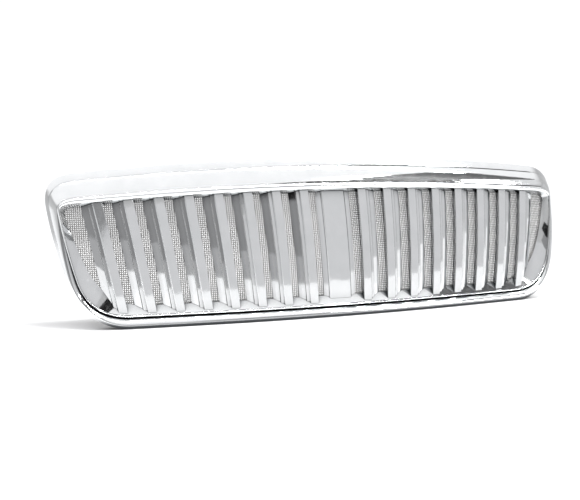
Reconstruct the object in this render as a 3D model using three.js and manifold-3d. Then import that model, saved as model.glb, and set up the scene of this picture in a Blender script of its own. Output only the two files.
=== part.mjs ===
// A car's front grille: a chrome surround, sixteen vertical blades and one wide centre bar in front of
// a fine mesh, with the frame, brackets and screws that hold it together behind.
// Millimetres. +X runs to the right seen from the front, -Y points forwards and +Z is up.
// The grille stands on its lower rail, with the origin under the middle of its bounding box.

import * as THREE from "three";
import { mergeVertices } from "three/addons/utils/BufferGeometryUtils.js";
import Module from "manifold-3d";

const wasm = await Module();
wasm.setup();

// ---- Driving dimensions ----

// The face that the front of every blade lies on: swept back at the ends, leaning back and bowed.
const FACE_HALF_WIDTH = 382;
const SWEEP_BACK = 32;
const SWEEP_EASE = 4.5;
const LEAN = 0.22;
const VERTICAL_BOW = 6;
const OPENING_BOTTOM_Z = 20.5;
const OPENING_HEIGHT = 191.5;

// Outlines seen from the front: the throat at the mesh, the mouth at the front lip, the outer rim.
// Each has a flat bottom edge, a bowed side and a crowned top, joined by rounded corners.
const THROAT = {
  bottomZ: 33,
  bottomHalf: 325,
  lowerSide: [418, 102],
  upperSide: [443, 180],
  sideBow: 1.5,
  topZ: 206,
  topHalf: 422,
  topDrop: 15.5,
};
const MOUTH = {
  bottomZ: OPENING_BOTTOM_Z,
  bottomHalf: 352,
  lowerSide: [430, 76],
  upperSide: [451, 184],
  sideBow: 2,
  topZ: OPENING_BOTTOM_Z + OPENING_HEIGHT,
  topHalf: 425,
  topDrop: 15.5,
};
const RIM = {
  bottomZ: 0,
  bottomHalf: 352,
  lowerSide: [449.5, 84],
  upperSide: [470, 190],
  sideBow: 2.5,
  topZ: 264,
  topHalf: 425,
  topDrop: 21,
};
const OUTLINE_STEPS = { bottom: 9, lowerCorner: 8, side: 5, upperCorner: 6, top: 10 };

// The surround's section. Depths are measured backwards from the blades' face.
const SHELL_WALL = 3;
const THROAT_DEPTH = 9.5;
const THROAT_EDGE = 0.3;
const MOUTH_DEPTH = -1.5;
const VALLEY_AT = 0.2;
const LIP_SECTION = [
  [0.05, -4],
  [0.1, -5],
  [0.15, -4.2],
  [VALLEY_AT, -1.2],
];
const TOP_FACE_AT = [0.38, 0.56, 0.72];
const TOP_FACE_CROWN = 3;
const FLANGE_AT = 0.75;
const FLANGE_STEP = 4;
const RIM_DEPTH_AT_FLOOR = -12;
const RIM_DEPTH_SLOPE = 0.15;
const RAIL_TUCK = 4;
const RAIL_CROWN = 5;
const RAIL_FADE_Z = 60;
const REAR_DEPTH_AT_FLOOR = 16;
const REAR_DEPTH_SLOPE = 0.056;
const RIM_WALL_AT = 0.88;

// Blades: sixteen narrow ones that fan out slightly towards the top, and one wide one.
const BLADES_PER_SIDE = 8;
const FIRST_BLADE_X = 48.7;
const BLADE_PITCH = 44.9;
const BLADE_FAN = 0.09;
const BLADE_STATIONS = 8;
const BLADE_OVERSHOOT = 0.05;
const BLADE_BACK_DEPTH = 10;
// Corners of a section, as [distance away from the centre of the grille, depth].
const BLADE_SECTION = [
  [-7.3, BLADE_BACK_DEPTH],
  [-7, 0.5],
  [-6.5, 0],
  [6.5, 0],
  [7, 0.5],
  [7.7, 2.6],
  [12.6, 3.4],
  [13.4, 5.2],
  [24, 9.2],
  [24, BLADE_BACK_DEPTH],
];
const CENTRE_HALF_SECTION = [
  [18.3, 5],
  [19, 5.6],
  [20.2, 7.4],
  [28.5, 9.4],
  [28.5, BLADE_BACK_DEPTH],
];

// Parts behind the blades.
const GAP = 0.4;
const BLOCK_REACH = 60;
const PLUG_FORWARD = 1.4;
const MESH_THICKNESS = 1.2;
const MESH_DEPTH = BLADE_BACK_DEPTH + GAP;
const MESH_MARGIN = 6;
const MESH_STEPS = { along: 30, rows: 8 };
const CARRIER_DEPTH = MESH_DEPTH + MESH_THICKNESS + GAP;
const CARRIER_THICKNESS = 6;
const CARRIER_BACK = CARRIER_DEPTH + CARRIER_THICKNESS;
const BEHIND_CARRIER = CARRIER_BACK + 2 * GAP;
const CARRIER_OUTER_AT = 0.35;
const POST_WIDTH = 30;
const POST_THICKNESS = 5;
const POST_END = 8;
const POST_STEPS = { along: 4, rows: 8 };
const SCREW_LINE_AT = 0.18;
const SCREW_X = [120, 330];
const SEAL_AT = [0.7, 0.86];
const SEAL_THICKNESS = 6;
const SEAL_HALF_LENGTH = 400;
const SEAL_STEPS = { along: 20, rows: 1 };

// Screws, bosses and brackets.
const SHANK_RADIUS = 1.9;
const HOLE_RADIUS = 2.3;
const HEAD_RADIUS = 4.4;
const HEAD_HEIGHT = 2.6;
const SCREW_LENGTH = 13;
const BOSS_RADIUS = 4.6;
const BOSS_START_DEPTH = 0.5;
const ROUND_SIDES = 12;
const POST_SCREW_LENGTH = 10;
const BRACKET_THICKNESS = 2;
const BRACKET_WIDTH = 46;
const BRACKET_REACH = 44;
const BRACKET_LEG = 20;
const BRACKET_X = 230;
const BRACKET_SCREW_SPACING = 26;
const BRACKET_SCREW_LENGTH = 7;
const BRACKET_HOLE_RADIUS = 4.5;
const BRACKET_HOLE_REACH = 30;

const MATERIALS = {
  chrome: { color: 0xe4e8ea, roughness: 0.06, metalness: 1 },
  steelMesh: { color: 0xb9b6b4, roughness: 0.35, metalness: 1 },
  blackPlastic: { color: 0x17181a, roughness: 0.6, metalness: 0 },
  zincSteel: { color: 0x9ea3a6, roughness: 0.35, metalness: 1 },
  foam: { color: 0x2b2b2d, roughness: 0.95, metalness: 0 },
};

const group = new THREE.Group();

function addMesh(name, geometry, material, parent = group) {
  const mesh = new THREE.Mesh(geometry, new THREE.MeshStandardMaterial(MATERIALS[material]));
  mesh.name = name;
  parent.add(mesh);
  return mesh;
}

// ---- Solids ----

function toSolid(geometry) {
  const bare = geometry.clone();
  bare.deleteAttribute("normal");
  bare.deleteAttribute("uv");
  const merged = mergeVertices(bare, 1e-4);
  return new wasm.Manifold(
    new wasm.Mesh({
      numProp: 3,
      vertProperties: merged.attributes.position.array,
      triVerts: new Uint32Array(merged.index.array),
    }),
  );
}

function toGeometry(solid) {
  const { vertProperties, triVerts } = solid.getMesh();
  const geometry = new THREE.BufferGeometry();
  geometry.setAttribute("position", new THREE.BufferAttribute(vertProperties, 3));
  geometry.setIndex(new THREE.BufferAttribute(triVerts, 1));
  geometry.computeVertexNormals();
  return geometry;
}

function triangles(points, faces) {
  const geometry = new THREE.BufferGeometry().setFromPoints(points);
  geometry.setIndex(faces);
  geometry.computeVertexNormals();
  return geometry;
}

// Quads between each ring of points and the next, which runs further out on the front side.
function bandsBetween(ringCount, size, wrap) {
  const faces = [];
  const bands = wrap ? ringCount : ringCount - 1;
  for (let ring = 0; ring < bands; ring += 1) {
    const here = ring * size;
    const next = ((ring + 1) % ringCount) * size;
    for (let i = 0; i < size; i += 1) {
      const j = (i + 1) % size;
      faces.push(here + i, next + i, here + j);
      faces.push(here + j, next + i, next + j);
    }
  }
  return faces;
}

// A closed frame: the rings follow its section all the way round and back to the first.
function frameOf(rings) {
  return triangles(rings.flat(), bandsBetween(rings.length, rings[0].length, true));
}

// A solid between a first and a last ring, each closed by a cap of the given triangles.
function cappedLoft(rings, cap) {
  const size = rings[0].length;
  const faces = bandsBetween(rings.length, size, false);
  const last = (rings.length - 1) * size;
  for (const [a, b, c] of cap) {
    faces.push(a, b, c);
    faces.push(last + a, last + c, last + b);
  }
  return triangles(rings.flat(), faces);
}

function capOf(contour) {
  return THREE.ShapeUtils.triangulateShape(contour, []);
}

// A cylinder along Y from the origin, backwards when the length is positive.
function cylinderAlongY(radius, length) {
  return new THREE.CylinderGeometry(radius, radius, Math.abs(length), ROUND_SIDES).translate(
    0,
    length / 2,
    0,
  );
}

// ---- The face and the outlines ----

function faceY(x, z) {
  const across = (x / FACE_HALF_WIDTH) ** 2;
  const sweep = SWEEP_BACK * across - SWEEP_EASE * across ** 2;
  const height = (2 * (z - OPENING_BOTTOM_Z)) / OPENING_HEIGHT - 1;
  const bow = VERTICAL_BOW * Math.max(0, 1 - height ** 2);
  return sweep + LEAN * z - bow;
}

function onFace(x, z, depth) {
  return new THREE.Vector3(x, faceY(x, z) + depth, z);
}

// Where the line through a along direction u meets the line through b along direction v.
function meeting(a, u, b, v) {
  const along = b.clone().sub(a).cross(v) / u.cross(v);
  return a.clone().addScaledVector(u, along);
}

function outlineOf(shape) {
  const bottomMiddle = new THREE.Vector2(0, shape.bottomZ);
  const bottomEnd = new THREE.Vector2(shape.bottomHalf, shape.bottomZ);
  const sideStart = new THREE.Vector2(...shape.lowerSide);
  const sideEnd = new THREE.Vector2(...shape.upperSide);
  const topEnd = new THREE.Vector2(shape.topHalf, shape.topZ - shape.topDrop);
  const topMiddle = new THREE.Vector2(0, shape.topZ);

  const sideRun = sideEnd.clone().sub(sideStart).normalize();
  const sideHandle = sideStart.clone().add(sideEnd).divideScalar(2);
  sideHandle.addScaledVector(new THREE.Vector2(sideRun.y, -sideRun.x), 2 * shape.sideBow);
  const topHandle = new THREE.Vector2(shape.topHalf / 2, shape.topZ);
  const lowerCorner = meeting(
    bottomEnd,
    new THREE.Vector2(1, 0),
    sideStart,
    sideHandle.clone().sub(sideStart),
  );
  const upperCorner = meeting(
    sideEnd,
    sideEnd.clone().sub(sideHandle),
    topEnd,
    topEnd.clone().sub(topHandle),
  );

  const pieces = [
    [new THREE.LineCurve(bottomMiddle, bottomEnd), OUTLINE_STEPS.bottom],
    [new THREE.QuadraticBezierCurve(bottomEnd, lowerCorner, sideStart), OUTLINE_STEPS.lowerCorner],
    [new THREE.QuadraticBezierCurve(sideStart, sideHandle, sideEnd), OUTLINE_STEPS.side],
    [new THREE.QuadraticBezierCurve(sideEnd, upperCorner, topEnd), OUTLINE_STEPS.upperCorner],
    [new THREE.QuadraticBezierCurve(topEnd, topHandle, topMiddle), OUTLINE_STEPS.top],
  ];
  const right = [bottomMiddle];
  for (const [curve, steps] of pieces) {
    right.push(...curve.getPoints(steps).slice(1));
  }
  const left = right.slice(1, -1).reverse();
  return [...right, ...left.map((point) => new THREE.Vector2(-point.x, point.y))];
}

const throatOutline = outlineOf(THROAT);
const mouthOutline = outlineOf(MOUTH);
const rimOutline = outlineOf(RIM);

function blend(from, to, part) {
  return from.map((point, i) => point.clone().lerp(to[i], part));
}

// The outline at a part of the way from the mouth (0) to the rim (1).
function shellOutline(part) {
  return blend(mouthOutline, rimOutline, part);
}

// Moves an outline towards its inside by a distance, or outwards when it is negative.
function inset(outline, distance) {
  return outline.map((point, i) => {
    const before = outline.at(i - 1);
    const after = outline[(i + 1) % outline.length];
    const run = after.clone().sub(before).normalize();
    return new THREE.Vector2(point.x - run.y * distance, point.y + run.x * distance);
  });
}

// A ring of points on an outline, at one depth or at a depth that changes with height.
function ringOn(outline, depth) {
  const depthAt = typeof depth === "function" ? depth : () => depth;
  return outline.map((point) => onFace(point.x, point.y, depthAt(point.y)));
}

function topZAt(shape, x) {
  return shape.topZ - shape.topDrop * (x / shape.topHalf) ** 2;
}

function mixed(a, b, part) {
  return a + (b - a) * part;
}

// ---- The chrome surround ----

// The lower rail is rounder than the rest and tucks under at the floor. It fades out up the sides.
function railShare(z) {
  return 1 - THREE.MathUtils.smoothstep(z, MOUTH.bottomZ, RAIL_FADE_Z);
}

function rimDepth(z) {
  return RIM_DEPTH_AT_FLOOR + RIM_DEPTH_SLOPE * z + RAIL_TUCK * railShare(z);
}

function rearDepth(z) {
  return REAR_DEPTH_AT_FLOOR + REAR_DEPTH_SLOPE * z;
}

// The sloping face between the valley behind the lip and the rim, slightly crowned.
function slopingFaceDepth(part, z) {
  const valleyDepth = LIP_SECTION.at(-1)[1];
  const along = (part - VALLEY_AT) / (1 - VALLEY_AT);
  const crown = (TOP_FACE_CROWN + RAIL_CROWN * railShare(z)) * 4 * along * (1 - along);
  return mixed(valleyDepth, rimDepth(z), along) - crown;
}

// The flange lies behind the crease at the top and is flush with it lower down.
function flangeStep(z) {
  return FLANGE_STEP * THREE.MathUtils.smoothstep(z, RIM.lowerSide[1], RIM.upperSide[1]);
}

function surroundFrame() {
  const front = [
    { outline: mouthOutline, depth: () => MOUTH_DEPTH },
    ...LIP_SECTION.map(([part, depth]) => ({
      outline: shellOutline(part),
      depth: () => depth,
    })),
    ...TOP_FACE_AT.map((part) => ({
      outline: shellOutline(part),
      depth: (z) => slopingFaceDepth(part, z),
    })),
    {
      outline: shellOutline(FLANGE_AT),
      depth: (z) => slopingFaceDepth(FLANGE_AT, z) + flangeStep(z),
    },
  ];
  const rearInner = shellOutline(RIM_WALL_AT);
  const back = front
    .slice()
    .reverse()
    .map(({ outline, depth }) => ({ outline, depth: (z) => depth(z) + SHELL_WALL }));
  const rings = [
    ringOn(throatOutline, THROAT_DEPTH),
    ...front.map(({ outline, depth }) => ringOn(outline, depth)),
    ringOn(rimOutline, rimDepth),
    ringOn(rimOutline, rearDepth),
    ringOn(rearInner, rearDepth),
    ringOn(rearInner, (z) => rimDepth(z) + SHELL_WALL),
    ...back.map(({ outline, depth }) => ringOn(outline, depth)),
    ringOn(blend(throatOutline, mouthOutline, THROAT_EDGE), THROAT_DEPTH),
  ];
  return toSolid(frameOf(rings));
}

// ---- Places on the curved face ----

// A group whose +Y axis points straight back through the face at a place on it.
function placeOnFace(x, z, depth) {
  const slopeX = (faceY(x + HEAD_RADIUS, z) - faceY(x - HEAD_RADIUS, z)) / (2 * HEAD_RADIUS);
  const slopeZ = (faceY(x, z + HEAD_RADIUS) - faceY(x, z - HEAD_RADIUS)) / (2 * HEAD_RADIUS);
  const place = new THREE.Group();
  place.position.copy(onFace(x, z, 0));
  const turn = Math.atan(slopeX);
  const tilt = Math.atan(slopeZ * Math.cos(turn));
  place.rotation.set(-tilt, 0, turn, "ZXY");
  place.translateY(depth * Math.cos(tilt) * Math.cos(turn));
  place.updateMatrix();
  return place;
}

function solidAt(geometry, x, z, depth) {
  return toSolid(geometry.clone().applyMatrix4(placeOnFace(x, z, depth).matrix));
}

// The eight places round the carrier where a screw runs into a boss of the surround.
function screwPlaces() {
  const topLine = (x) => mixed(topZAt(MOUTH, x), topZAt(RIM, x), SCREW_LINE_AT);
  const bottomLine = mixed(MOUTH.bottomZ, RIM.bottomZ, SCREW_LINE_AT);
  return SCREW_X.flatMap((x) => [
    { x: -x, z: topLine(x) },
    { x, z: topLine(x) },
    { x: -x, z: bottomLine },
    { x, z: bottomLine },
  ]);
}

// The middle height of the carrier at its top (side 1) or bottom (side -1).
function carrierMiddleZ(x, side) {
  const inner = side > 0 ? topZAt(THROAT, x) : THROAT.bottomZ;
  const mouth = side > 0 ? topZAt(MOUTH, x) : MOUTH.bottomZ;
  const rim = side > 0 ? topZAt(RIM, x) : RIM.bottomZ;
  return mixed(inner, mixed(mouth, rim, CARRIER_OUTER_AT), 0.5);
}

// The four brackets: left and right, on the top and the bottom of the carrier.
const BRACKETS = [
  { name: "upper_bracket_left", x: -BRACKET_X, side: 1 },
  { name: "upper_bracket_right", x: BRACKET_X, side: 1 },
  { name: "lower_bracket_left", x: -BRACKET_X, side: -1 },
  { name: "lower_bracket_right", x: BRACKET_X, side: -1 },
];

function bracketScrewPlaces() {
  return BRACKETS.flatMap(({ name, x, side }) =>
    [-1, 1].map((end) => ({
      name: `${name}_screw_${end < 0 ? 1 : 2}`,
      x: x + (end * BRACKET_SCREW_SPACING) / 2,
      z: carrierMiddleZ(x, side),
    })),
  );
}

function postScrewPlaces() {
  return [
    { name: "post_screw_lower", x: 0, z: carrierMiddleZ(0, -1) },
    { name: "post_screw_upper", x: 0, z: carrierMiddleZ(0, 1) },
  ];
}

function makeSurround() {
  let shell = surroundFrame();
  const bossDepth = CARRIER_DEPTH - 2 * GAP;
  const bossLength = bossDepth - BOSS_START_DEPTH;
  const boreLength = bossLength - SHELL_WALL;
  for (const { x, z } of screwPlaces()) {
    shell = shell.add(solidAt(cylinderAlongY(BOSS_RADIUS, -bossLength), x, z, bossDepth));
    shell = shell.subtract(solidAt(cylinderAlongY(HOLE_RADIUS, -boreLength), x, z, bossDepth + GAP));
  }
  addMesh("surround", toGeometry(shell), "chrome");
}

// ---- Blades ----

// The space inside the surround's bevel, which is carried on past the mouth to trim every blade's ends.
function openingPlug() {
  const throat = inset(throatOutline, GAP);
  const mouth = inset(blend(throatOutline, mouthOutline, PLUG_FORWARD), GAP);
  const rings = [
    ringOn(mouth, -BLOCK_REACH),
    ringOn(mouth, mixed(THROAT_DEPTH, MOUTH_DEPTH, PLUG_FORWARD)),
    ringOn(throat, THROAT_DEPTH),
    ringOn(throat, BLOCK_REACH),
  ];
  return toSolid(cappedLoft(rings, capOf(mouth)));
}

// A blade with its section's corners in counterclockwise order seen from above, trimmed by the plug.
function trimmedBlade(section, middleX, plug) {
  const contour = section.map(([x, depth]) => new THREE.Vector2(middleX + x, depth));
  const rings = [];
  for (let i = 0; i <= BLADE_STATIONS; i += 1) {
    const height = mixed(1 + BLADE_OVERSHOOT, -BLADE_OVERSHOOT, i / BLADE_STATIONS);
    const z = OPENING_BOTTOM_Z + height * OPENING_HEIGHT;
    const fan = 1 + BLADE_FAN * height;
    rings.push(contour.map((corner) => onFace(corner.x * fan, z, corner.y)));
  }
  return toGeometry(toSolid(cappedLoft(rings, capOf(contour))).intersect(plug));
}

function mirrored(section) {
  return section.map(([x, depth]) => [-x, depth]).reverse();
}

function makeBlades() {
  const plug = openingPlug();
  for (let number = 1; number <= BLADES_PER_SIDE; number += 1) {
    const x = FIRST_BLADE_X + (number - 1) * BLADE_PITCH;
    addMesh(`bar_right_${number}`, trimmedBlade(BLADE_SECTION, x, plug), "chrome");
    addMesh(`bar_left_${number}`, trimmedBlade(mirrored(BLADE_SECTION), -x, plug), "chrome");
  }
  const centreSection = [...mirrored(CENTRE_HALF_SECTION), ...CENTRE_HALF_SECTION];
  addMesh("centre_bar", trimmedBlade(centreSection, 0, plug), "chrome");
}

// ---- Mesh, carrier, post and seal ----

// A strip that follows the face across the car, between a lower and an upper edge line.
function stripAcross(halfLength, depths, lowerZ, upperZ, steps) {
  const [frontDepth, backDepth] = depths;
  const { along, rows } = steps;
  const contour = [];
  for (let row = 0; row <= rows; row += 1) {
    contour.push(new THREE.Vector2(frontDepth, row / rows));
  }
  for (let row = rows; row >= 0; row -= 1) {
    contour.push(new THREE.Vector2(backDepth, row / rows));
  }
  const rings = [];
  for (let i = 0; i <= along; i += 1) {
    const x = mixed(-halfLength, halfLength, i / along);
    const zAt = (part) => mixed(lowerZ(x), upperZ(x), part);
    rings.push(contour.map((corner) => onFace(x, zAt(corner.y), corner.x)));
  }
  const cap = [];
  for (let row = 0; row < rows; row += 1) {
    const across = contour.length - 1 - row;
    cap.push([row, row + 1, across - 1], [row, across - 1, across]);
  }
  return cappedLoft(rings, cap);
}

// A solid block with the given outline all the way from the front of the face to behind it.
function outlineBlock(outline) {
  const rings = [ringOn(outline, -BLOCK_REACH), ringOn(outline, BLOCK_REACH)];
  return toSolid(cappedLoft(rings, capOf(outline)));
}

function makeMeshScreen() {
  const outline = inset(throatOutline, -MESH_MARGIN);
  const depths = [MESH_DEPTH, MESH_DEPTH + MESH_THICKNESS];
  const lowerZ = () => RIM.bottomZ;
  const upperZ = () => RIM.topZ;
  const sheet = stripAcross(RIM.upperSide[0], depths, lowerZ, upperZ, MESH_STEPS);
  addMesh("mesh_screen", toGeometry(toSolid(sheet).intersect(outlineBlock(outline))), "steelMesh");
}

function makeCarrier() {
  const outer = shellOutline(CARRIER_OUTER_AT);
  const rings = [
    ringOn(throatOutline, CARRIER_DEPTH),
    ringOn(outer, CARRIER_DEPTH),
    ringOn(outer, CARRIER_BACK),
    ringOn(throatOutline, CARRIER_BACK),
  ];
  let carrier = toSolid(frameOf(rings));
  const drill = cylinderAlongY(HOLE_RADIUS, 3 * CARRIER_THICKNESS);
  for (const { x, z } of [...screwPlaces(), ...bracketScrewPlaces(), ...postScrewPlaces()]) {
    carrier = carrier.subtract(solidAt(drill, x, z, CARRIER_DEPTH - CARRIER_THICKNESS));
  }
  addMesh("carrier_frame", toGeometry(carrier), "blackPlastic");
}

function makeCentrePost() {
  const [lowerScrew, upperScrew] = postScrewPlaces();
  const depths = [BEHIND_CARRIER, BEHIND_CARRIER + POST_THICKNESS];
  const lowerZ = () => lowerScrew.z - POST_END;
  const upperZ = () => upperScrew.z + POST_END;
  let post = toSolid(stripAcross(POST_WIDTH / 2, depths, lowerZ, upperZ, POST_STEPS));
  const drill = cylinderAlongY(HOLE_RADIUS, 3 * POST_THICKNESS);
  for (const { x, z } of [lowerScrew, upperScrew]) {
    post = post.subtract(solidAt(drill, x, z, CARRIER_BACK - POST_THICKNESS));
  }
  addMesh("centre_post", toGeometry(post), "blackPlastic");
}

function makeFoamSeal() {
  const front = rearDepth(RIM.topZ) + GAP;
  const depths = [front, front + SEAL_THICKNESS];
  const [lowerZ, upperZ] = SEAL_AT.map(
    (part) => (x) => mixed(topZAt(MOUTH, x), topZAt(RIM, x), part),
  );
  addMesh("foam_seal", stripAcross(SEAL_HALF_LENGTH, depths, lowerZ, upperZ, SEAL_STEPS), "foam");
}

// ---- Fasteners and brackets ----

// A pan-head screw along Y: the shank runs forwards from the seat and the head stands behind it.
function screwGeometry(length) {
  const profile = [
    [0, -length],
    [SHANK_RADIUS, -length + SHANK_RADIUS],
    [SHANK_RADIUS, 0],
    [HEAD_RADIUS, 0],
    [HEAD_RADIUS, HEAD_HEIGHT / 2],
    [HEAD_RADIUS / 2, HEAD_HEIGHT],
    [0, HEAD_HEIGHT],
  ];
  return new THREE.LatheGeometry(
    profile.map(([radius, along]) => new THREE.Vector2(radius, along)),
    ROUND_SIDES,
  );
}

function addScrew(name, x, z, seatDepth, length) {
  const place = placeOnFace(x, z, seatDepth + GAP);
  group.add(place);
  addMesh(name, screwGeometry(length), "zincSteel", place);
}

function makeScrews() {
  screwPlaces().forEach(({ x, z }, index) => {
    addScrew(`carrier_screw_${index + 1}`, x, z, CARRIER_BACK, SCREW_LENGTH);
  });
  for (const { name, x, z } of bracketScrewPlaces()) {
    addScrew(name, x, z, BEHIND_CARRIER + BRACKET_THICKNESS, BRACKET_SCREW_LENGTH);
  }
  for (const { name, x, z } of postScrewPlaces()) {
    addScrew(name, x, z, BEHIND_CARRIER + POST_THICKNESS, POST_SCREW_LENGTH);
  }
}

// Extrudes an outline of [backward, upward] corners along X, centred on the middle.
function extrudedAcross(corners, width) {
  const shape = new THREE.Shape(corners.map(([y, z]) => new THREE.Vector2(y, z)));
  const geometry = new THREE.ExtrudeGeometry(shape, { depth: width, bevelEnabled: false });
  geometry.translate(0, 0, -width / 2);
  const basis = new THREE.Matrix4().makeBasis(
    new THREE.Vector3(0, 1, 0),
    new THREE.Vector3(0, 0, 1),
    new THREE.Vector3(1, 0, 0),
  );
  return geometry.applyMatrix4(basis);
}

// The hole that fastens a bracket's foot to the car.
function footHole(footZ) {
  const height = 4 * BRACKET_THICKNESS;
  const hole = new THREE.CylinderGeometry(
    BRACKET_HOLE_RADIUS,
    BRACKET_HOLE_RADIUS,
    height,
    2 * ROUND_SIDES,
  );
  return toSolid(hole.rotateX(Math.PI / 2).translate(0, BRACKET_HOLE_REACH, footZ));
}

// An L in sheet steel: a leg that leans with the carrier and a level foot that reaches backwards.
function bracketGeometry(side, footZ) {
  const leg = BRACKET_LEG / 2;
  const t = BRACKET_THICKNESS;
  const corners = [
    [-side * leg * LEAN, -side * leg],
    [-side * leg * LEAN + t, -side * leg],
    [(footZ - side * t) * LEAN + t, footZ - side * t],
    [BRACKET_REACH, footZ - side * t],
    [BRACKET_REACH, footZ],
    [footZ * LEAN, footZ],
  ];
  const bracket = toSolid(extrudedAcross(side > 0 ? corners : corners.reverse(), BRACKET_WIDTH));
  return toGeometry(bracket.subtract(footHole(footZ)));
}

// Drills the holes for a bracket's own two screws through it where it stands.
function drilledInPlace(name, geometry, place) {
  place.updateMatrix();
  let bracket = toSolid(geometry.applyMatrix4(place.matrix));
  const drill = cylinderAlongY(HOLE_RADIUS, 4 * BRACKET_THICKNESS);
  for (const screw of bracketScrewPlaces()) {
    if (screw.name.startsWith(name)) {
      bracket = bracket.subtract(solidAt(drill, screw.x, screw.z, CARRIER_BACK));
    }
  }
  return toGeometry(bracket);
}

function makeBrackets() {
  for (const { name, x, side } of BRACKETS) {
    const z = carrierMiddleZ(x, side);
    const footZ = side > 0 ? BRACKET_LEG / 2 + BRACKET_THICKNESS : -z;
    const place = new THREE.Group();
    place.position.copy(onFace(x, z, BEHIND_CARRIER));
    place.rotation.z = placeOnFace(x, z, 0).rotation.z;
    addMesh(name, drilledInPlace(name, bracketGeometry(side, footZ), place), "zincSteel");
  }
}

makeSurround();
makeBlades();
makeMeshScreen();
makeCarrier();
makeCentrePost();
makeFoamSeal();
makeScrews();
makeBrackets();

// Puts the origin under the middle of the whole grille.
const box = new THREE.Box3().setFromObject(group);
const middle = box.getCenter(new THREE.Vector3());
group.position.set(-middle.x, -middle.y, -box.min.z);

export default group;
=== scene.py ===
"""A chrome front grille on a pale studio floor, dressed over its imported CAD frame.

Metres, in the CAD frame: +X to the right seen from the front, -Y forwards, +Z up.
The outlines and section sizes below are written in millimetres.
"""

import math

import bpy
import numpy as np
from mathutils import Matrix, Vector


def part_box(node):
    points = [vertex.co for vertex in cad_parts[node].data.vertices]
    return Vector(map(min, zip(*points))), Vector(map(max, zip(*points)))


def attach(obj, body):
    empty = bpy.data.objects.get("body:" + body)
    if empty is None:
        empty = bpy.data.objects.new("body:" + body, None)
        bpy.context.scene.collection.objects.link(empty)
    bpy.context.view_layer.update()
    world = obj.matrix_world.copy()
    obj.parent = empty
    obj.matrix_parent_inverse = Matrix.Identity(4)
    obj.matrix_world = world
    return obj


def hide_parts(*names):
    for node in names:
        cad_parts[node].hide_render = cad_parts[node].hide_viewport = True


MM = 0.001

# ---- The face that the front of every bar lies on (millimetres) ----

FACE_HALF_WIDTH = 382.0
SWEEP_BACK = 32.0
SWEEP_EASE = 4.5
LEAN = 0.22
VERTICAL_BOW = 6.0
OPENING_BOTTOM_Z = 20.5
OPENING_HEIGHT = 191.5

# ---- Outlines seen from the front: the throat at the mesh, the mouth at the lip, the outer rim ----

THROAT = {
    "bottom_z": 33.0,
    "bottom_half": 325.0,
    "lower_side": (418.0, 102.0),
    "upper_side": (443.0, 180.0),
    "side_bow": 1.5,
    "top_z": 206.0,
    "top_half": 422.0,
    "top_drop": 15.5,
}
MOUTH = {
    "bottom_z": OPENING_BOTTOM_Z,
    "bottom_half": 352.0,
    "lower_side": (430.0, 76.0),
    "upper_side": (451.0, 184.0),
    "side_bow": 2.0,
    "top_z": OPENING_BOTTOM_Z + OPENING_HEIGHT,
    "top_half": 425.0,
    "top_drop": 15.5,
}
RIM = {
    "bottom_z": 0.0,
    "bottom_half": 352.0,
    "lower_side": (449.5, 84.0),
    "upper_side": (470.0, 190.0),
    "side_bow": 2.5,
    "top_z": 264.0,
    "top_half": 425.0,
    "top_drop": 21.0,
}
OUTLINE_STEPS = {"bottom": 30, "lower_corner": 24, "side": 18, "upper_corner": 20, "top": 40}

# ---- The surround's section. Depths are measured backwards from the bars' face. ----

SHELL_WALL = 3.0
THROAT_DEPTH = 9.5
THROAT_EDGE = 0.3
MOUTH_DEPTH = -1.5
VALLEY_AT = 0.2
LIP_AT = (0.0, 0.05, 0.1, 0.15, VALLEY_AT)
LIP_DEPTHS = (MOUTH_DEPTH, -4.0, -5.0, -4.2, -1.2)
LIP_STEPS = 14
CREASE_AT = 0.72
SLOPE_STEPS = 12
SLOPE_CROWN = 3.0
FLANGE_AT = 0.75
FLANGE_STEP = 4.0
FLANGE_STEPS = 5
RIM_AT = 0.98
RIM_DEPTH_AT_FLOOR = -12.0
RIM_DEPTH_SLOPE = 0.15
RAIL_TUCK = 4.0
RAIL_CROWN = 5.0
RAIL_FADE_Z = 60.0
REAR_DEPTH_AT_FLOOR = 16.0
REAR_DEPTH_SLOPE = 0.056
RIM_WALL_AT = 0.88
BEVEL_STEPS = 4

# ---- Rounded edges: width in millimetres, the angle past which an edge is rounded, and steps ----

SURROUND_ROUNDING = (0.4, 24, 3)
BAR_ROUNDING = (0.3, 16, 2)
CARRIER_ROUNDING = (0.8, 30, 3)
SEAL_ROUNDING = (1.2, 30, 3)

# ---- Bars: sixteen narrow ones that fan out slightly towards the top, and one wide one ----

BARS_PER_SIDE = 8
FIRST_BAR_X = 48.7
BAR_PITCH = 44.9
BAR_FAN = 0.09
BAR_STATIONS = 28
BAR_BACK_DEPTH = 10.0
BAR_END_GAP = 0.4
BAR_END_PASSES = 6
# Corners of a section, as (distance outwards from the bar's own middle, depth).
BAR_SECTION = (
    (-7.3, BAR_BACK_DEPTH),
    (-7.0, 0.5),
    (-6.5, 0.0),
    (6.5, 0.0),
    (7.0, 0.5),
    (7.7, 2.6),
    (12.6, 3.4),
    (13.4, 5.2),
    (24.0, 9.2),
    (24.0, BAR_BACK_DEPTH),
)
CENTRE_HALF_SECTION = (
    (18.3, 5.0),
    (19.0, 5.6),
    (20.2, 7.4),
    (28.5, 9.4),
    (28.5, BAR_BACK_DEPTH),
)

# ---- Woven mesh, carrier, centre post and seal (millimetres) ----

WIRE_HALF_WIDTH = 0.9
WIRE_HALF_THICKNESS = 0.45
WIRE_PITCH = 3.2
WIRE_DEPTH = 11.0
MESH_MARGIN = 5.0
CARRIER_DEPTHS = (12.0, 18.0)
CARRIER_OUTER_AT = 0.35
POST_DEPTH = 18.8
SEAL_AT = (0.7, 0.86)
SEAL_HALF_LENGTH = 400.0
SEAL_THICKNESS = 6.0
SEAL_GAP = 0.4
SEAL_STATIONS = 120

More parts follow.
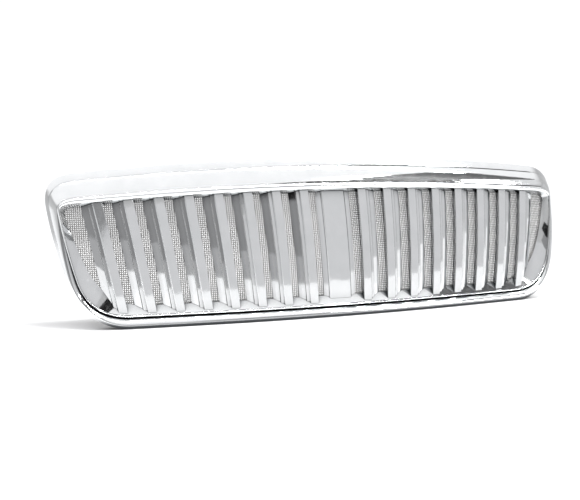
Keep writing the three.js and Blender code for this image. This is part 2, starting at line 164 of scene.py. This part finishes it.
# ---- Camera and studio (metres and degrees, with the lens and sensor in millimetres) ----

CAMERA_AZIMUTH = -21.9
CAMERA_ELEVATION = 8.0
CAMERA_DISTANCE = 1.6757
CAMERA_AIM = (0.0, -0.0372, 0.0831)
CAMERA_LENS = 61.1
CAMERA_SENSOR = 36.0
CAMERA_SHIFT = (-0.0847, 0.0263)
FLOOR_SIZE = 40.0
# Brightness of the surroundings against the sine of the height angle: white near the horizon,
# a grey band above it and a white ceiling.
SKY_BANDS = ((0.0, 1.05), (0.12, 1.05), (0.25, 0.62), (0.6, 0.5), (0.7, 1.0), (1.0, 1.05))
SKY_BLUENESS = 1.01
# Azimuth and elevation of the sun, and how wide it looks.
SUN_ANGLES = (48.0, 44.0)
SUN_SOFTNESS = 24.0
SUN_POWER = 1.9
STRIP_PLACE = (0.1, 0.0, 1.3)
STRIP_SIZE = (2.0, 0.05)
STRIP_TURN = -7.0
STRIP_POWER = 14.0
# Cards that only show in reflections, hung round the point that the camera aims at and facing it:
# name, azimuth, elevation, width and height, brightness.
CARD_DISTANCE = 4.0
CARD_BLUENESS = 1.02
CARDS = (
    ("grey_front_card", 24.0, 21.0, (5.6, 2.14), 0.66),
    ("dark_left_card_upper", -33.0, 24.0, (2.9, 1.6), 0.27),
    ("dark_left_card_lower", -33.0, 8.5, (2.9, 0.6), 0.42),
    ("black_left_card", -27.0, 34.0, (0.8, 0.6), 0.015),
    ("black_band_card", 32.0, 45.0, (3.1, 0.75), 0.012),
    ("dark_right_card", 63.0, 48.0, (1.9, 0.95), 0.13),
    ("grey_right_card", 76.0, 20.0, (2.0, 2.0), 0.62),
    ("dark_back_card", 165.0, 45.0, (6.0, 2.4), 0.02),
)


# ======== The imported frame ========

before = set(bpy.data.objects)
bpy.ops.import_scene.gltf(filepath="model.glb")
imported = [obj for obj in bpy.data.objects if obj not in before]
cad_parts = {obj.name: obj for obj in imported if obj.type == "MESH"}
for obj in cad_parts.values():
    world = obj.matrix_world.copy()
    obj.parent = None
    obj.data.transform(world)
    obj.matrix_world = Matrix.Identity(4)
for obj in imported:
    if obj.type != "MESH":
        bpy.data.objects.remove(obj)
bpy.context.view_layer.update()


# ======== Face and outlines ========

def mixed(a, b, part):
    """A value at a part of the way from a to b."""
    return a + (b - a) * part


def face_y(x, z):
    """How far back the bars' face lies, in millimetres: swept at the sides, leaning and bowed."""
    across = (x / FACE_HALF_WIDTH) ** 2
    sweep = SWEEP_BACK * across - SWEEP_EASE * across**2
    height = 2 * (z - OPENING_BOTTOM_Z) / OPENING_HEIGHT - 1
    bow = VERTICAL_BOW * np.maximum(0, 1 - height**2)
    return sweep + LEAN * z - bow


def face_shift():
    """How far back the face's own zero lies in the CAD frame, from the foot of the centre post."""
    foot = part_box("centre_post")[0]
    return foot.y - (face_y(0, foot.z / MM) + POST_DEPTH) * MM


FACE_SHIFT = face_shift()


def on_face(x, z, depth):
    """Points in metres at a depth behind the face. Takes numbers or arrays."""
    x, z, depth = np.broadcast_arrays(x, z, depth)
    y = (face_y(x, z) + depth) * MM + FACE_SHIFT
    return np.stack([x * MM, y, z * MM], axis=-1)


def cross(a, b):
    return a[0] * b[1] - a[1] * b[0]


def meeting(a, u, b, v):
    """Where the line through a along u meets the line through b along v."""
    return a + u * (cross(b - a, v) / cross(u, v))


def arc(start, handle, end, steps):
    """Points on a quadratic curve, without its first point."""
    t = np.linspace(0, 1, steps + 1)[1:, None]
    return start * (1 - t) ** 2 + 2 * handle * t * (1 - t) + end * t**2


def right_half(shape):
    """The outline's right half, from the middle of its bottom to the middle of its top."""
    bottom_middle = np.array([0, shape["bottom_z"]])
    bottom_end = np.array([shape["bottom_half"], shape["bottom_z"]])
    side_start = np.array(shape["lower_side"])
    side_end = np.array(shape["upper_side"])
    top_end = np.array([shape["top_half"], shape["top_z"] - shape["top_drop"]])
    top_middle = np.array([0, shape["top_z"]])
    side_run = (side_end - side_start) / np.linalg.norm(side_end - side_start)
    outwards = np.array([side_run[1], -side_run[0]])
    side_handle = (side_start + side_end) / 2 + outwards * 2 * shape["side_bow"]
    top_handle = np.array([shape["top_half"] / 2, shape["top_z"]])
    level = np.array([1.0, 0.0])
    lower_corner = meeting(bottom_end, level, side_start, side_handle - side_start)
    upper_corner = meeting(side_end, side_end - side_handle, top_end, top_end - top_handle)
    middle = (bottom_middle + bottom_end) / 2
    return np.vstack([
        bottom_middle,
        arc(bottom_middle, middle, bottom_end, OUTLINE_STEPS["bottom"]),
        arc(bottom_end, lower_corner, side_start, OUTLINE_STEPS["lower_corner"]),
        arc(side_start, side_handle, side_end, OUTLINE_STEPS["side"]),
        arc(side_end, upper_corner, top_end, OUTLINE_STEPS["upper_corner"]),
        arc(top_end, top_handle, top_middle, OUTLINE_STEPS["top"]),
    ])


def outline_of(shape):
    """The whole outline, once round from the middle of its bottom."""
    right = right_half(shape)
    left = right[1:-1][::-1] * (-1, 1)
    return np.vstack([right, left])


throat_half = right_half(THROAT)
mouth_half = right_half(MOUTH)
throat_outline = outline_of(THROAT)
mouth_outline = outline_of(MOUTH)
rim_outline = outline_of(RIM)


def shell_outline(part):
    """The outline at a part of the way from the mouth (0) to the rim (1)."""
    return mixed(mouth_outline, rim_outline, part)


def bevel_outline(part):
    """The outline at a part of the way from the throat (0) to the mouth (1)."""
    return mixed(throat_outline, mouth_outline, part)


def top_z_at(shape, x):
    return shape["top_z"] - shape["top_drop"] * (x / shape["top_half"]) ** 2


# ======== Mesh helpers ========

def new_piece(name, points, faces):
    mesh = bpy.data.meshes.new(name)
    mesh.from_pydata([tuple(p) for p in points], [], [tuple(f) for f in faces])
    mesh.validate()
    mesh.shade_smooth()
    piece = bpy.data.objects.new(name, mesh)
    bpy.context.scene.collection.objects.link(piece)
    return piece


def apply_modifier(piece, modifier):
    bpy.context.view_layer.objects.active = piece
    with bpy.context.temp_override(object=piece, active_object=piece, selected_objects=[piece]):
        bpy.ops.object.modifier_apply(modifier=modifier.name)


def round_edges(piece, rounding):
    """Rounds every edge sharper than an angle, keeping the faces beside it flat in the shading."""
    width, angle, segments = rounding
    bevel = piece.modifiers.new("rounded edges", "BEVEL")
    bevel.width = width * MM
    bevel.segments = segments
    bevel.limit_method = "ANGLE"
    bevel.angle_limit = math.radians(angle)
    bevel.harden_normals = True
    bevel.miter_outer = "MITER_ARC"
    apply_modifier(piece, bevel)


def grid_faces(rows, columns, close_rows, close_columns):
    """Quads between rows of points, as rows x columns, optionally joined end to end."""
    faces = []
    for row in range(rows if close_rows else rows - 1):
        here = row * columns
        below = ((row + 1) % rows) * columns
        for column in range(columns if close_columns else columns - 1):
            beside = (column + 1) % columns
            faces.append((here + column, below + column, below + beside, here + beside))
    return faces


def frame_piece(name, rings):
    """A closed frame whose section runs through the rings and back to the first."""
    return new_piece(name, np.vstack(rings), grid_faces(len(rings), len(rings[0]), True, True))


def loft_piece(name, rings):
    """A solid between a first and a last ring, each closed by one face."""
    size = len(rings[0])
    faces = grid_faces(len(rings), size, False, True)
    last = (len(rings) - 1) * size
    faces.append(tuple(range(size)))
    faces.append(tuple(last + i for i in reversed(range(size))))
    return new_piece(name, np.vstack(rings), faces)


def ring_on(outline, depth):
    """A ring of points on an outline, at one depth or at a depth that changes with height."""
    x, z = outline[:, 0], outline[:, 1]
    return on_face(x, z, depth(z) if callable(depth) else depth)


# ======== Materials ========

class Nodes:
    """A short way to add and link shader nodes in one material."""

    def __init__(self, name):
        self.material = bpy.data.materials.new(name)
        self.material.use_nodes = True
        self.tree = self.material.node_tree
        self.shader = self.tree.nodes["Principled BSDF"]
        self.place = self.add("ShaderNodeTexCoord").outputs["Object"]

    def add(self, kind, **inputs):
        node = self.tree.nodes.new(kind)
        for name, value in inputs.items():
            node.inputs[name.replace("_", " ")].default_value = value
        return node

    def link(self, output, node, name):
        self.tree.links.new(output, node.inputs[name])

    def noise(self, scale, detail=4.0, stretch=(1, 1, 1)):
        """Noise over the object's own metres, with a scale in cells per metre."""
        mapping = self.add("ShaderNodeMapping", Scale=stretch)
        self.link(self.place, mapping, "Vector")
        texture = self.add("ShaderNodeTexNoise", Scale=scale, Detail=detail)
        self.link(mapping.outputs["Vector"], texture, "Vector")
        return texture.outputs["Fac"]

    def ramp(self, factor, low, high, dark, light):
        """A colour ramp between two colours, from a low to a high factor."""
        ramp = self.add("ShaderNodeValToRGB")
        ramp.color_ramp.elements[0].position = low
        ramp.color_ramp.elements[1].position = high
        ramp.color_ramp.elements[0].color = (*dark, 1)
        ramp.color_ramp.elements[1].color = (*light, 1)
        self.link(factor, ramp, "Fac")
        return ramp.outputs["Color"]

    def multiply(self, first, second):
        mix = self.tree.nodes.new("ShaderNodeMix")
        mix.data_type = "RGBA"
        mix.blend_type = "MULTIPLY"
        mix.inputs["Factor"].default_value = 1.0
        self.tree.links.new(first, mix.inputs[6])
        self.tree.links.new(second, mix.inputs[7])
        return mix.outputs[2]

    def spread(self, factor, low, high):
        """Maps a factor in the middle of its range to a value from low to high."""
        mapper = self.add("ShaderNodeMapRange", From_Min=0.3, From_Max=0.7, To_Min=low, To_Max=high)
        self.link(factor, mapper, "Value")
        return mapper.outputs["Result"]

    def bump(self, height, strength, distance, after=None):
        bump = self.add("ShaderNodeBump", Strength=strength, Distance=distance)
        self.link(height, bump, "Height")
        if after is not None:
            self.link(after, bump, "Normal")
        return bump.outputs["Normal"]

    def set(self, name, value):
        self.shader.inputs[name].default_value = value


def chrome():
    nodes = Nodes("chrome plating")
    haze = nodes.noise(35, 5)
    nodes.set("Metallic", 1.0)
    tint = nodes.ramp(haze, 0.3, 0.75, (0.87, 0.885, 0.89), (0.93, 0.94, 0.945))
    # Painted shade: the base colour is multiplied down to near black wherever ambient occlusion finds
    # corners and recesses, standing in for the shade that falls there.
    recess = nodes.add("ShaderNodeAmbientOcclusion", Distance=0.02)
    recess.samples = 8
    painted_recess_shade = nodes.ramp(recess.outputs["AO"], 0.5, 0.95, (0.10, 0.105, 0.11), (1, 1, 1))
    nodes.link(nodes.multiply(tint, painted_recess_shade), nodes.shader, "Base Color")
    nodes.link(nodes.spread(nodes.noise(160, 6), 0.035, 0.09), nodes.shader, "Roughness")
    ripple = nodes.bump(nodes.noise(28, 2), 0.25, 0.0004)
    peel = nodes.bump(nodes.noise(420, 3), 0.06, 0.00012, ripple)
    nodes.link(peel, nodes.shader, "Normal")
    return nodes.material


def steel_wire():
    nodes = Nodes("satin steel wire")
    nodes.set("Metallic", 0.85)
    tint = nodes.ramp(nodes.noise(55, 4), 0.3, 0.7, (0.36, 0.358, 0.355), (0.46, 0.457, 0.452))
    nodes.link(tint, nodes.shader, "Base Color")
    nodes.link(nodes.spread(nodes.noise(700, 3), 0.32, 0.5), nodes.shader, "Roughness")
    nodes.link(nodes.bump(nodes.noise(2500, 2), 0.2, 0.0001), nodes.shader, "Normal")
    return nodes.material


def black_plastic():
    nodes = Nodes("grained black plastic")
    tint = nodes.ramp(nodes.noise(40, 4), 0.3, 0.7, (0.012, 0.012, 0.013), (0.024, 0.024, 0.026))
    nodes.link(tint, nodes.shader, "Base Color")
    nodes.link(nodes.spread(nodes.noise(900, 3), 0.42, 0.62), nodes.shader, "Roughness")
    nodes.link(nodes.bump(nodes.noise(1600, 2), 0.35, 0.0002), nodes.shader, "Normal")
    return nodes.material


def zinc_steel():
    nodes = Nodes("zinc plated steel")
    nodes.set("Metallic", 1.0)
    spangle = nodes.noise(130, 6)
    tint = nodes.ramp(spangle, 0.35, 0.65, (0.50, 0.515, 0.53), (0.70, 0.71, 0.715))
    nodes.link(tint, nodes.shader, "Base Color")
    nodes.link(nodes.spread(spangle, 0.42, 0.26), nodes.shader, "Roughness")
    drawn = nodes.noise(300, 3, stretch=(0.12, 1, 1))
    nodes.link(nodes.bump(drawn, 0.15, 0.0001), nodes.shader, "Normal")
    return nodes.material


def seal_foam():
    nodes = Nodes("open cell foam")
    tint = nodes.ramp(nodes.noise(220, 5), 0.3, 0.7, (0.014, 0.014, 0.015), (0.035, 0.035, 0.037))
    nodes.link(tint, nodes.shader, "Base Color")
    nodes.set("Roughness", 0.95)
    cells = nodes.add("ShaderNodeTexVoronoi", Scale=900.0)
    nodes.link(nodes.place, cells, "Vector")
    nodes.link(nodes.bump(cells.outputs["Distance"], 0.8, 0.0006), nodes.shader, "Normal")
    return nodes.material


def white_floor():
    nodes = Nodes("white studio floor")
    tint = nodes.ramp(nodes.noise(3, 3), 0.2, 0.8, (0.92, 0.92, 0.922), (0.94, 0.94, 0.942))
    nodes.link(tint, nodes.shader, "Base Color")
    nodes.link(nodes.spread(nodes.noise(40, 3), 0.55, 0.7), nodes.shader, "Roughness")
    return nodes.material


CHROME = chrome()
STEEL_WIRE = steel_wire()
BLACK_PLASTIC = black_plastic()
ZINC_STEEL = zinc_steel()
SEAL_FOAM = seal_foam()


def dress(piece, material, node):
    """Gives a new piece its material and its place in the frame, instead of a CAD node."""
    piece.data.materials.clear()
    piece.data.materials.append(material)
    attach(piece, "root")
    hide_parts(node)


def dress_node(name, material):
    """Gives a CAD node that stays as it is its material."""
    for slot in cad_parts[name].material_slots:
        slot.material = material


# ======== The chrome surround ========

def smooth_step(value, low, high):
    t = np.clip((value - low) / (high - low), 0, 1)
    return t * t * (3 - 2 * t)


def rail_share(z):
    """The lower rail is rounder than the rest and tucks under. This fades out up the sides."""
    return 1 - smooth_step(z, MOUTH["bottom_z"], RAIL_FADE_Z)


def rim_depth(z):
    return RIM_DEPTH_AT_FLOOR + RIM_DEPTH_SLOPE * z + RAIL_TUCK * rail_share(z)


def rear_depth(z):
    return REAR_DEPTH_AT_FLOOR + REAR_DEPTH_SLOPE * z


def sloping_depth(part, z):
    """Depth of the face between the valley behind the lip and the rim, slightly crowned."""
    along = (part - VALLEY_AT) / (1 - VALLEY_AT)
    crown = (SLOPE_CROWN + RAIL_CROWN * rail_share(z)) * 4 * along * (1 - along)
    return mixed(LIP_DEPTHS[-1], rim_depth(z), along) - crown


def flange_depth(part, z):
    """The flange steps back from the crease at the top and is flush with it lower down."""
    step = FLANGE_STEP * smooth_step(z, RIM["lower_side"][1], RIM["upper_side"][1])
    start = sloping_depth(FLANGE_AT, z) + step
    return mixed(start, rim_depth(z), (part - FLANGE_AT) / (1 - FLANGE_AT))


def surround_front():
    """Outlines and depths over the surround's front, from the mouth to the flange's outer edge."""
    lip_curve = np.polyfit(LIP_AT, LIP_DEPTHS, len(LIP_AT) - 1)
    stations = []
    for part in np.linspace(0, VALLEY_AT, LIP_STEPS + 1):
        stations.append((shell_outline(part), lambda z, p=part: np.polyval(lip_curve, p) + 0 * z))
    for part in np.linspace(VALLEY_AT, CREASE_AT, SLOPE_STEPS + 1)[1:]:
        stations.append((shell_outline(part), lambda z, p=part: sloping_depth(p, z)))
    for part in np.linspace(FLANGE_AT, RIM_AT, FLANGE_STEPS + 1):
        stations.append((shell_outline(part), lambda z, p=part: flange_depth(p, z)))
    return stations


def make_surround():
    front = surround_front()
    rings = []
    for part in np.linspace(0, 1, BEVEL_STEPS + 1)[:-1]:
        rings.append(ring_on(bevel_outline(part), mixed(THROAT_DEPTH, MOUTH_DEPTH, part)))
    for outline, depth in front:
        rings.append(ring_on(outline, depth))
    rim = shell_outline(RIM_AT)
    rear_inner = shell_outline(RIM_WALL_AT)
    rings.append(ring_on(rim, rear_depth))
    rings.append(ring_on(rear_inner, rear_depth))
    rings.append(ring_on(rear_inner, lambda z: rim_depth(z) + SHELL_WALL))
    for outline, depth in reversed(front[: -FLANGE_STEPS]):
        rings.append(ring_on(outline, lambda z, d=depth: d(z) + SHELL_WALL))
    rings.append(ring_on(bevel_outline(THROAT_EDGE), THROAT_DEPTH))
    surround = frame_piece("chrome_surround", rings)
    round_edges(surround, SURROUND_ROUNDING)
    dress(surround, CHROME, "surround")


# ======== Bars ========

def bevel_part(depth):
    """How far along the bevel, from the throat to the mouth, a depth is reached."""
    return (THROAT_DEPTH - depth) / (THROAT_DEPTH - MOUTH_DEPTH)


def fan(z):
    """How much further apart the bars stand at a height than at the bottom of the opening."""
    return 1 + BAR_FAN * (z - OPENING_BOTTOM_Z) / OPENING_HEIGHT


def end_height(corner_x, depth, top):
    """The height at which a bar's corner line meets the surround's bevel at the bottom or the top."""
    outline = mixed(throat_half, mouth_half, bevel_part(depth))
    widest = int(np.argmax(outline[:, 0]))
    half = outline[widest:][::-1] if top else outline[: widest + 1]
    z = OPENING_BOTTOM_Z + (OPENING_HEIGHT if top else 0)
    for _ in range(BAR_END_PASSES):
        x = abs(corner_x) * fan(z)
        z = float(np.interp(x, half[:, 0], half[:, 1]))
    return z + (-BAR_END_GAP if top else BAR_END_GAP)


def make_bar(name, section, middle_x, node):
    """Lofts one bar from its section, with each corner line cut where it meets the bevel."""
    corners = [(middle_x + x, depth) for x, depth in section]
    lows = np.array([end_height(x, depth, False) for x, depth in corners])
    highs = np.array([end_height(x, depth, True) for x, depth in corners])
    foot_x = np.array([x for x, _ in corners])
    depths = np.array([depth for _, depth in corners])
    rings = []
    for part in np.linspace(1, 0, BAR_STATIONS + 1):
        z = mixed(lows, highs, part)
        rings.append(on_face(foot_x * fan(z), z, depths))
    bar = loft_piece(name, rings)
    round_edges(bar, BAR_ROUNDING)
    dress(bar, CHROME, node)


def mirrored(section):
    return [(-x, depth) for x, depth in reversed(section)]


def make_bars():
    for number in range(1, BARS_PER_SIDE + 1):
        x = FIRST_BAR_X + (number - 1) * BAR_PITCH
        make_bar(f"chrome_bar_right_{number}", BAR_SECTION, x, f"bar_right_{number}")
        make_bar(f"chrome_bar_left_{number}", mirrored(BAR_SECTION), -x, f"bar_left_{number}")
    centre = [*mirrored(CENTRE_HALF_SECTION), *CENTRE_HALF_SECTION]
    make_bar("chrome_centre_bar", centre, 0.0, "centre_bar")


# ======== Woven mesh ========

def mesh_outline():
    """The right half of the mesh's edge, a margin outside the throat."""
    run = np.gradient(throat_half, axis=0)
    run /= np.linalg.norm(run, axis=1)[:, None]
    return throat_half + np.stack([run[:, 1], -run[:, 0]], axis=1) * MESH_MARGIN


def wire_rings(centres, side):
    """Four-sided rings round a wire's centre line. Side is the direction across the wire."""
    across = np.array(side) * WIRE_HALF_WIDTH * MM
    back = np.array((0.0, WIRE_HALF_THICKNESS * MM, 0.0))
    return np.stack([centres + across, centres + back, centres - across, centres - back], axis=1)


def upright_wires(half):
    """Wires that run up and down, from the mesh's lower edge to its upper edge."""
    widest = int(np.argmax(half[:, 0]))
    lower, upper = half[: widest + 1], half[widest:][::-1]
    x_reach = int(half[widest, 0] / WIRE_PITCH)
    wires = []
    for i in range(-x_reach, x_reach + 1):
        x = i * WIRE_PITCH
        low = np.interp(abs(x), lower[:, 0], lower[:, 1])
        high = np.interp(abs(x), upper[:, 0], upper[:, 1])
        rows = np.arange(math.ceil(low / WIRE_PITCH), math.floor(high / WIRE_PITCH) + 1)
        if len(rows) > 1:
            weave = WIRE_HALF_THICKNESS * (-1.0) ** (rows + i)
            centres = on_face(x, rows * WIRE_PITCH, WIRE_DEPTH + weave)
            wires.append(wire_rings(centres, (1, 0, 0)))
    return wires


def level_wires(half):
    """Wires that run from side to side, over one upright wire and under the next."""
    z_first = math.ceil(half[0, 1] / WIRE_PITCH)
    z_last = math.floor(half[-1, 1] / WIRE_PITCH)
    wires = []
    for j in range(z_first, z_last + 1):
        z = j * WIRE_PITCH
        reach = int(np.interp(z, half[:, 1], half[:, 0]) / WIRE_PITCH)
        columns = np.arange(-reach, reach + 1)
        if len(columns) > 1:
            weave = -WIRE_HALF_THICKNESS * (-1.0) ** (columns + j)
            centres = on_face(columns * WIRE_PITCH, z, WIRE_DEPTH + weave)
            wires.append(wire_rings(centres, (0, 0, 1)))
    return wires


def make_mesh_screen():
    half = mesh_outline()
    points, faces = [], []
    start = 0
    for rings in upright_wires(half) + level_wires(half):
        points.append(rings.reshape(-1, 3))
        faces += [tuple(start + v for v in face) for face in grid_faces(len(rings), 4, False, True)]
        start += len(points[-1])
    screen = new_piece("woven_mesh_screen", np.vstack(points), faces)
    dress(screen, STEEL_WIRE, "mesh_screen")


# ======== Carrier and seal ========

def make_carrier():
    outer = shell_outline(CARRIER_OUTER_AT)
    front, back = CARRIER_DEPTHS
    rings = [
        ring_on(throat_outline, front),
        ring_on(outer, front),
        ring_on(outer, back),
        ring_on(throat_outline, back),
    ]
    carrier = frame_piece("carrier_moulding", rings)
    round_edges(carrier, CARRIER_ROUNDING)
    dress(carrier, BLACK_PLASTIC, "carrier_frame")


def make_seal():
    front = rear_depth(RIM["top_z"]) + SEAL_GAP
    rings = []
    for x in np.linspace(-SEAL_HALF_LENGTH, SEAL_HALF_LENGTH, SEAL_STATIONS):
        low, high = [mixed(top_z_at(MOUTH, x), top_z_at(RIM, x), part) for part in SEAL_AT]
        heights = np.array([low, high, high, low])
        depths = front + SEAL_THICKNESS * np.array([0, 0, 1, 1])
        rings.append(on_face(x, heights, depths))
    seal = loft_piece("foam_seal_strip", rings)
    round_edges(seal, SEAL_ROUNDING)
    dress(seal, SEAL_FOAM, "foam_seal")


# ======== The pieces ========

make_surround()
make_bars()
make_mesh_screen()
make_carrier()
make_seal()
dress_node("centre_post", BLACK_PLASTIC)
for node_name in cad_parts:
    if "bracket" in node_name or "screw" in node_name:
        dress_node(node_name, ZINC_STEEL)


# ======== Camera, floor and light ========

def direction(azimuth, elevation):
    """A unit vector from the object towards a viewpoint, as the view angles are measured."""
    a, e = math.radians(azimuth), math.radians(elevation)
    return Vector((math.sin(a) * math.cos(e), -math.cos(a) * math.cos(e), math.sin(e)))


def make_camera():
    data = bpy.data.cameras.new("camera")
    camera = bpy.data.objects.new("camera", data)
    bpy.context.scene.collection.objects.link(camera)
    towards = direction(CAMERA_AZIMUTH, CAMERA_ELEVATION)
    camera.location = Vector(CAMERA_AIM) + towards * CAMERA_DISTANCE
    camera.rotation_euler = (-towards).to_track_quat("-Z", "Y").to_euler()
    data.lens = CAMERA_LENS
    data.sensor_width = CAMERA_SENSOR
    data.shift_x, data.shift_y = CAMERA_SHIFT
    bpy.context.scene.camera = camera


def flat_rectangle(name, size):
    x, y = size[0] / 2, size[1] / 2
    return new_piece(name, [(-x, -y, 0), (x, -y, 0), (x, y, 0), (-x, y, 0)], [(0, 1, 2, 3)])


def make_floor():
    floor = flat_rectangle("studio_floor", (FLOOR_SIZE, FLOOR_SIZE))
    floor.data.materials.append(white_floor())


def make_strip():
    """A long narrow light above the grille, looking straight down."""
    data = bpy.data.lights.new("overhead_strip", "AREA")
    data.shape = "RECTANGLE"
    data.size, data.size_y = STRIP_SIZE
    data.energy = STRIP_POWER
    strip = bpy.data.objects.new("overhead_strip", data)
    bpy.context.scene.collection.objects.link(strip)
    strip.location = STRIP_PLACE
    strip.rotation_euler = Vector((0, 0, -1)).to_track_quat("-Z", "Y").to_euler()
    strip.rotation_euler.rotate_axis("Z", math.radians(STRIP_TURN))


def add_card(name, azimuth, elevation, size, brightness):
    """A plain card that only shows in reflections. It is part of the studio, not of the grille."""
    towards = direction(azimuth, elevation)
    card = flat_rectangle(name, size)
    card.location = Vector(CAMERA_AIM) + towards * CARD_DISTANCE
    card.rotation_euler = (-towards).to_track_quat("Z", "Y").to_euler()
    material = bpy.data.materials.new(name)
    material.use_nodes = True
    tree = material.node_tree
    tree.nodes.clear()
    glow = tree.nodes.new("ShaderNodeEmission")
    blue = CARD_BLUENESS * brightness
    glow.inputs["Color"].default_value = (brightness, brightness, blue, 1)
    output = tree.nodes.new("ShaderNodeOutputMaterial")
    tree.links.new(glow.outputs["Emission"], output.inputs["Surface"])
    card.data.materials.append(material)
    card.visible_camera = False
    card.visible_diffuse = False
    card.visible_shadow = False
    card.visible_transmission = False


def make_sky():
    """Surroundings that change in brightness with height only."""
    world = bpy.data.worlds.new("studio")
    world.use_nodes = True
    tree = world.node_tree
    place = tree.nodes.new("ShaderNodeTexCoord")
    split = tree.nodes.new("ShaderNodeSeparateXYZ")
    ramp = tree.nodes.new("ShaderNodeValToRGB")
    tree.links.new(place.outputs["Generated"], split.inputs["Vector"])
    tree.links.new(split.outputs["Z"], ramp.inputs["Fac"])
    tree.links.new(ramp.outputs["Color"], tree.nodes["Background"].inputs["Color"])
    stops = ramp.color_ramp.elements
    while len(stops) < len(SKY_BANDS):
        stops.new(1.0)
    for stop, (position, brightness) in zip(stops, SKY_BANDS):
        stop.position = position
        stop.color = (brightness, brightness, SKY_BLUENESS * brightness, 1)
    bpy.context.scene.world = world


def make_sun():
    data = bpy.data.lights.new("sun", "SUN")
    data.energy = SUN_POWER
    data.angle = math.radians(SUN_SOFTNESS)
    sun = bpy.data.objects.new("sun", data)
    bpy.context.scene.collection.objects.link(sun)
    sun.rotation_euler = (-direction(*SUN_ANGLES)).to_track_quat("-Z", "Y").to_euler()


def make_studio():
    bpy.context.scene.view_settings.view_transform = "Standard"
    make_sky()
    make_sun()
    make_strip()
    for card in CARDS:
        add_card(*card)


make_camera()
make_floor()
make_studio()
